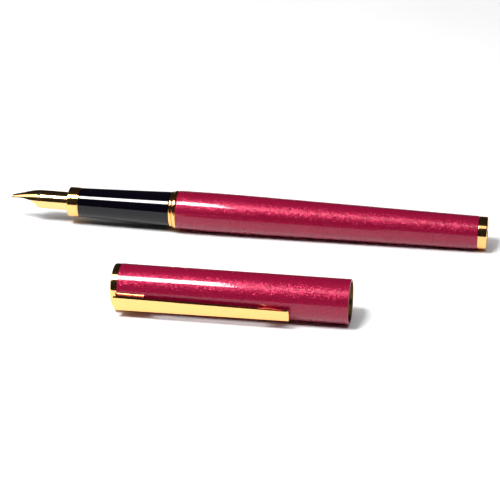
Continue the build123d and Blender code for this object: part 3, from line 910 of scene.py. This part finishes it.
class PEN_OT_converter(bpy.types.Operator):
    """Build the ink converter with its knob, piston and ball"""
    bl_idname = "pen.converter"
    bl_label = "Converter"

    def execute(self, context):
        black = black_plastic()
        tube = Turned("converter_tube", PEN)
        guide = Turned("converter_rod_guide", PEN)
        place_lathe("converter_socket", socket_outline(tube), PEN,
                    ("converter", "black_plastic", "converter_mouth"), black, 96)
        place_lathe("converter_barrel",
                    ring_outline(tube.start, tube.end, tube.outer, tube.bore, 0.12), PEN,
                    ("converter", "clear_plastic", "converter_tube"), clear_material())
        place_lathe("rod_bush",
                    ring_outline(guide.start, guide.end, guide.outer - 0.01, guide.bore, 0.08),
                    PEN, ("converter", "black_plastic", "converter_rod_guide"), black, 96)
        place_lathe("converter_belt", belt_outline(), PEN,
                    ("converter", "bright_chrome", "converter_band"),
                    metal_material("bright_chrome", (0.74, 0.74, 0.76), 0.1))
        place_piece(ball_piece("stirring_ball", "agitator_ball", 21, 40, plain=True),
                    "converter", "steel", steel(), "agitator_ball")
        place_piece(knob_piece(context.scene.pen_shapes.knob_flutes), "knob",
                    "black_plastic", black, "converter_knob")
        place_lathe("piston_lips", seal_outline(), PEN, ("piston", "white_seal", "piston_seal"),
                    plastic_material("white_seal", (0.72, 0.72, 0.69), 0.35), 96)
        place_piece(rod_piece(), "piston", "steel", steel(), "piston_rod")
        return {"FINISHED"}


def socket_outline(tube):
    """The converter's mouth: a socket for the nipple and a plug in the ink tube."""
    mouth = Turned("converter_mouth", PEN)
    socket_bore = mouth.narrowest(mouth.start)
    socket_end = mouth.start + 6.5
    return rounded([
        (mouth.start, socket_bore, 0.15), (mouth.start, mouth.outer, 0.25),
        (tube.start - 0.1, mouth.outer, 0.1), (tube.start, tube.bore, 0),
        (mouth.end, tube.bore, 0.15), (mouth.end, mouth.bore, 0),
        (socket_end, mouth.bore, 0), (socket_end, socket_bore, 0)])


def belt_outline():
    """The converter's band, with one groove."""
    band = Turned("converter_band", PEN)
    floor = band.outer - 0.12
    return rounded([
        (band.start, band.bore, 0.05), (band.start, band.outer, 0.2),
        (band.start + 1.0, band.outer, 0.05), (band.start + 1.1, floor, 0.05),
        (band.start + 1.3, floor, 0.05), (band.start + 1.4, band.outer, 0.05),
        (band.end, band.outer, 0.2), (band.end, band.bore, 0.05)])


def seal_outline():
    """The piston's seal: two lips with a waist between them."""
    piston = Turned("piston_seal", PEN)
    third = (piston.end - piston.start) / 3
    waist = piston.outer - 0.3
    return rounded([
        (piston.start, 0, 0), (piston.start, piston.outer, 0.12),
        (piston.start + third, piston.outer, 0.12), (piston.start + third + 0.3, waist, 0.1),
        (piston.end - third - 0.3, waist, 0.1), (piston.end - third, piston.outer, 0.12),
        (piston.end, piston.outer, 0.12), (piston.end, 0, 0)])


def knob_piece(flutes):
    """Knob: r is cut by depth * (0.5 + 0.5 cos(flutes * a))^3 over its fluted length."""
    size = Turned("converter_knob", PEN)
    front = Turned("converter_band", PEN).end + 0.1
    neck = size.widest(size.start)
    xs = np.linspace(front + 0.8, size.end - 0.9, 24)
    outline = np.vstack([
        rounded([(size.start, size.bore, 0.03), (size.start, neck, 0.1), (front, neck, 0),
                 (front, size.outer, 0.35)])[:-1],
        np.column_stack([xs, np.full_like(xs, size.outer)]),
        rounded([(size.end, size.outer, 0.5), (size.end, 0, 0), (size.end - 1, 0, 0),
                 (size.end - 1, size.bore, 0), (size.end - 2, size.bore, 0)])[:-1]])

    def fluted(x, r, angle):
        share = np.clip((x - front - 1.2) / 0.8, 0, 1) * np.clip((size.end - 1.4 - x) / 0.8, 0, 1)
        dip = (0.5 + 0.5 * np.cos(flutes * angle)) ** 3
        return 1 - (r > size.outer - CREST_BAND) * share * dip * 0.22 / size.outer

    return lathe("knob_fluted", outline, PEN, flutes * 12, fluted)


def rod_piece():
    """Piston rod with its coarse thread: r = crest - depth * ridge(x / pitch - a / 2 pi)."""
    size = Turned("piston_rod", PEN)
    pitch, depth = 4.0, 0.14
    xs = np.linspace(size.start, size.end, 150)
    outline = np.vstack([[[size.start, 0]], np.column_stack([xs, np.full_like(xs, size.outer)]),
                         [[size.end, 0]]])

    def groove(x, r, angle):
        phase = 2 * x / pitch - angle / math.pi
        ridge = np.clip(np.cos(math.pi * phase) * 2, -1, 1) * 0.5 + 0.5
        return 1 - (r > 0.1) * ridge * depth / size.outer

    return lathe("rod_thread", outline, PEN, 64, groove)


# ---- Cap ------------------------------------------------------------------------------

class PEN_OT_cap(bpy.types.Operator):
    """Build the lacquered cap with its end ring, disc and the liners inside"""
    bl_idname = "pen.cap"
    bl_label = "Cap"

    def execute(self, context):
        rounding = length(context.scene.pen_shapes.ring_rounding)
        tube = Turned("cap_tube", CAP)
        disc = Turned("cap_end_disc", CAP)
        outline = rounded([
            (tube.start, tube.bore, 0.03), (tube.start, tube.outer, 0.05),
            (tube.end, tube.outer, 0.14), (tube.end, tube.bore, 0.14)])
        shell = lathe("cap_shell", outline, CAP, TUBE_STEPS)
        line_bore(shell, CAP, lambda x: (tube.outer + tube.bore) / 2 + 0 * x)
        place_piece(shell, "cap", "burgundy_lacquer", lacquer_material(), "cap_tube")
        place_lathe("cap_end_turned", cap_head_outline(disc, tube, rounding), CAP,
                    ("cap", "gold_plate", "cap_end_ring"), gold_material())
        place_lathe("cap_inlay", disc_outline(disc.end, disc.start, disc.outer), CAP,
                    ("cap", "burgundy_disc", "cap_end_disc"), lacquer_material())
        place_lathe("inner_cap_moulded", liner_outline(), CAP,
                    ("cap", "black_plastic", "inner_cap"), black_plastic())
        for node in ("clutch_ring", "cap_screw"):
            dress_node(node, steel())
        dress_node("clip_tang", gold_material())
        return {"FINISHED"}


def cap_head_outline(disc, tube, rounding):
    """The cap's end ring, with its recess for the disc and its spigot in the tube."""
    ring = Turned("cap_end_ring", CAP)
    radius, spigot = tube.outer - 0.05, tube.bore - 0.01
    return rounded([
        (disc.end, ring.bore, 0), (disc.end, disc.outer, 0), (ring.start, disc.outer, 0.12),
        (ring.start, radius, rounding), (tube.start, radius, 0.06), (tube.start, spigot, 0),
        (ring.end, spigot, 0.1), (ring.end, ring.bore, 0)])


def liner_outline():
    """The inner cap: a cup whose floor is held by the cap screw's head."""
    liner = Turned("inner_cap", CAP)
    screw = Turned("cap_screw", CAP)
    bore = liner.narrowest(liner.end)
    floor, seat = screw.end + 0.2, screw.end - 1.5
    return rounded([
        (liner.start, liner.bore, 0), (liner.start, liner.outer, 0.1),
        (liner.end, liner.outer, 0.15), (liner.end, bore, 0.15), (floor, bore, 0.3),
        (floor, screw.outer, 0.1), (seat, screw.outer, 0), (seat, liner.bore, 0)])


def dress_node(node, material):
    """Gives a CAD node that stays its finished material."""
    piece = frame["nodes"][node]
    piece.data.materials.clear()
    piece.data.materials.append(material)
    piece.data.polygons.foreach_set("material_index",
                                    np.zeros(len(piece.data.polygons), np.int32))


# ---- Clip -----------------------------------------------------------------------------

class PEN_OT_clip(bpy.types.Operator):
    """Build the gold clip with its ears and pressed bump"""
    bl_idname = "pen.clip"
    bl_label = "Clip"

    def execute(self, context):
        place_piece(clip_strip(), "clip", "gold_plate", gold_material(), "clip")
        return {"FINISHED"}


class ClipSizes:
    """The clip's main sizes, in millimetres, with x from its root."""

    root_half_width = 1.95
    end_half_width = 1.5
    thickness = 0.6

    def __init__(self):
        points = node_points("clip", CAP)
        self.start = points[:, 0].min()
        self.span = points[:, 0].max() - self.start
        self.top = points[:, 2].max()
        self.under = self.top - self.thickness
        self.cap_radius = Turned("cap_tube", CAP).outer

    def half_width(self, x):
        """Half the strip's width, which tapers evenly."""
        return self.root_half_width + (self.end_half_width - self.root_half_width) * x / self.span


def clip_strip():
    """Strip, ears and bump in one mesh. The strip's cross-section is a flat loop with
    rounded edges, carried along x with a width that tapers; the bump pushes the lower
    side down by depth * cos^2; each ear is a thin wall that follows the cap's round."""
    sizes = ClipSizes()
    merged, faces, count = [], [], 0
    for grid, quads in (clip_arm(sizes), clip_ear(sizes, 1), clip_ear(sizes, -1)):
        merged.append(grid + [sizes.start, 0, 0])
        faces.append(quads + count)
        count += len(grid)
    return finish_mesh("clip_strip", np.vstack(merged), np.vstack(faces), CAP,
                       math.radians(40))


def clip_arm(sizes):
    """The strip as a loop of cross-section points swept along x, closed at both ends."""
    span, bevel, crown = sizes.span, 0.13, 0.05
    bump_middle, bump_half = span - 4.5, 3.55
    x = np.unique(np.concatenate([[0, bevel * 0.3, bevel], np.linspace(bevel, span - bevel, 90),
                                  [span - bevel, span - bevel * 0.3, span]]))[:, None]
    width = sizes.half_width(x)
    past = np.where(x < bevel, bevel - x, np.where(x > span - bevel, x - span + bevel, 0))
    shrink = bevel - np.sqrt(np.clip(bevel ** 2 - past ** 2, 0, None))
    away = np.clip((x - bump_middle) / bump_half, -1, 1)
    depth = (sizes.under - sizes.cap_radius - 0.06) * np.cos(away * math.pi / 2) ** 2
    across = np.linspace(-1, 1, 25)[None, :]
    y = across * (width - shrink)
    inset = np.clip((np.abs(y) - (width - shrink - bevel)) / bevel, 0, 1)
    upper = (sizes.top - shrink - crown * (y / width) ** 2
             - bevel * (1 - np.sqrt(np.clip(1 - inset ** 2, 0, 1))))
    dome = 1 - np.clip((np.abs(y) / width - 0.8) / 0.2, 0, 1) ** 2
    lower = sizes.under + shrink - depth * dome
    loop = np.concatenate([np.stack([x + 0 * y, y, upper], -1),
                           np.stack([x + 0 * y, y, lower], -1)[:, ::-1]], axis=1)
    rows, columns = loop.shape[:2]
    faces = np.vstack([grid_faces(rows, columns, False, True), flat_ends(rows, columns)])
    return loop.reshape(-1, 3), faces


def clip_ear(sizes, side):
    """One ear: a wall from just above the cap's round up into the strip."""
    x = np.linspace(0.6, 7.2, 24)
    wall, clearance = 0.5, 0.07
    width = sizes.half_width(x) - 0.02
    outer, inner = side * width, side * (width - wall)
    reach = sizes.cap_radius + clearance
    top = 0 * x + sizes.under + 0.15
    section = ((outer, np.sqrt(reach ** 2 - outer ** 2)), (outer, top), (inner, top),
               (inner, np.sqrt(reach ** 2 - inner ** 2)))
    loop = np.stack([np.stack([x, y, z], -1) for y, z in section], 1)
    rows = len(x)
    ends = np.array([[0, 1, 2, 3], [(rows - 1) * 4 + k for k in (3, 2, 1, 0)]])
    return loop.reshape(-1, 3), np.vstack([grid_faces(rows, 4, False, True), ends])


# ---- Stage ----------------------------------------------------------------------------

class PEN_OT_stage(bpy.types.Operator):
    """Set the pale floor, the studio lights and the camera"""
    bl_idname = "pen.stage"
    bl_label = "Stage"

    def execute(self, context):
        scene = context.scene
        low, high = (Vector(corner) for corner in cad_box)
        middle = (low + high) / 2
        make_floor(low.z)
        make_lights(middle)
        make_camera(scene, scene.pen_stage, middle + Vector((0.0047, 0.0024, 0)))
        world = bpy.data.worlds.new("studio")
        world.use_nodes = True
        background = world.node_tree.nodes["Background"]
        background.inputs["Color"].default_value = (0.9, 0.92, 1, 1)
        background.inputs["Strength"].default_value = 0.02
        scene.world = world
        scene.view_settings.view_transform = "Standard"
        return {"FINISHED"}


def make_floor(height):
    """Wide flat table top at the object's base."""
    half_size, points_a_side = 3.0, 9
    line = np.linspace(-half_size, half_size, points_a_side)
    x, y = np.meshgrid(line, line, indexing="ij")
    points = np.stack([x, y, 0 * x + height], -1).reshape(-1, 3)
    faces = grid_faces(points_a_side, points_a_side, False, False)[:, ::-1]
    mesh = bpy.data.meshes.new("table_top")
    mesh.from_pydata(points.tolist(), [], faces.tolist())
    mesh.materials.append(floor_material())
    table = bpy.data.objects.new("table_top", mesh)
    bpy.context.scene.collection.objects.link(table)


def panel_light(name, target, x_range, y_range, height, radiance, glossy=True):
    """Level rectangular light over the target, given by its edges and its radiance."""
    size = (x_range[1] - x_range[0], y_range[1] - y_range[0])
    data = bpy.data.lights.new(name, "AREA")
    data.shape = "RECTANGLE"
    data.size, data.size_y = size
    data.energy = radiance * math.pi * size[0] * size[1]
    light = bpy.data.objects.new(name, data)
    light.location = target + Vector((sum(x_range) / 2, sum(y_range) / 2, height))
    light.visible_glossy = glossy
    bpy.context.scene.collection.objects.link(light)


def make_lights(middle):
    """A small strong softbox for the bright line on the left, two weak panels that go on
    from it to the tip and to the tail, and a wide fill that gives no reflections."""
    panel_light("softbox", middle, (-0.28, -0.1), (-0.35, -0.12), 0.56, 46)
    panel_light("tip_panel", middle, (-0.85, -0.28), (-0.45, 0.0), 0.56, 2.4)
    panel_light("soft_panel", middle, (-0.1, 0.3), (-0.34, -0.12), 0.56, 1.4)
    panel_light("ceiling_fill", middle, (-0.9, 1.1), (-0.7, 1.3), 1.2, 1.2, glossy=False)


def make_camera(scene, stage, target):
    """Camera on its angles round the target, rolled about its line of sight."""
    a, e = stage.azimuth, stage.elevation
    back = Vector((math.sin(a) * math.cos(e), -math.cos(a) * math.cos(e), math.sin(e)))
    level = Vector((math.cos(a), math.sin(a), 0))
    upright = back.cross(level)
    right = level * math.cos(stage.roll) + upright * math.sin(stage.roll)
    up = back.cross(right)
    data = bpy.data.cameras.new("camera")
    data.lens = stage.lens
    data.sensor_width = 36
    data.clip_start = 0.01
    camera = bpy.data.objects.new("camera", data)
    rotation = Matrix((right, up, back)).transposed().to_4x4()
    camera.matrix_world = Matrix.Translation(target + back * stage.distance) @ rotation
    scene.collection.objects.link(camera)
    scene.camera = camera


# ---- Panel and registration -----------------------------------------------------------

STEPS = (PEN_OT_barrel, PEN_OT_rings, PEN_OT_grip, PEN_OT_nib, PEN_OT_converter,
         PEN_OT_cap, PEN_OT_clip, PEN_OT_stage)


class PEN_PT_panel(bpy.types.Panel):
    """Lists the steps that finish the pen"""
    bl_label = "Fountain Pen"
    bl_idname = "PEN_PT_panel"
    bl_space_type = "VIEW_3D"
    bl_region_type = "UI"
    bl_category = "Pen"

    def draw(self, context):
        for group in (context.scene.pen_colours, context.scene.pen_shapes,
                      context.scene.pen_stage):
            for key in group.bl_rna.properties.keys()[2:]:
                self.layout.prop(group, key)
        for step in STEPS:
            self.layout.operator(step.bl_idname)


CLASSES = (PenColours, PenShapes, StageSettings, *STEPS, PEN_PT_panel)
GROUPS = (("pen_colours", PenColours), ("pen_shapes", PenShapes), ("pen_stage", StageSettings))


def register():
    for item in CLASSES:
        bpy.utils.register_class(item)
    for name, group in GROUPS:
        setattr(bpy.types.Scene, name, PointerProperty(type=group))


def unregister():
    for name, _ in GROUPS:
        delattr(bpy.types.Scene, name)
    for item in reversed(CLASSES):
        bpy.utils.unregister_class(item)


def main():
    register()
    for step in STEPS:
        group, action = step.bl_idname.split(".")
        getattr(getattr(bpy.ops, group), action)()


if __name__ == "__main__":
    main()
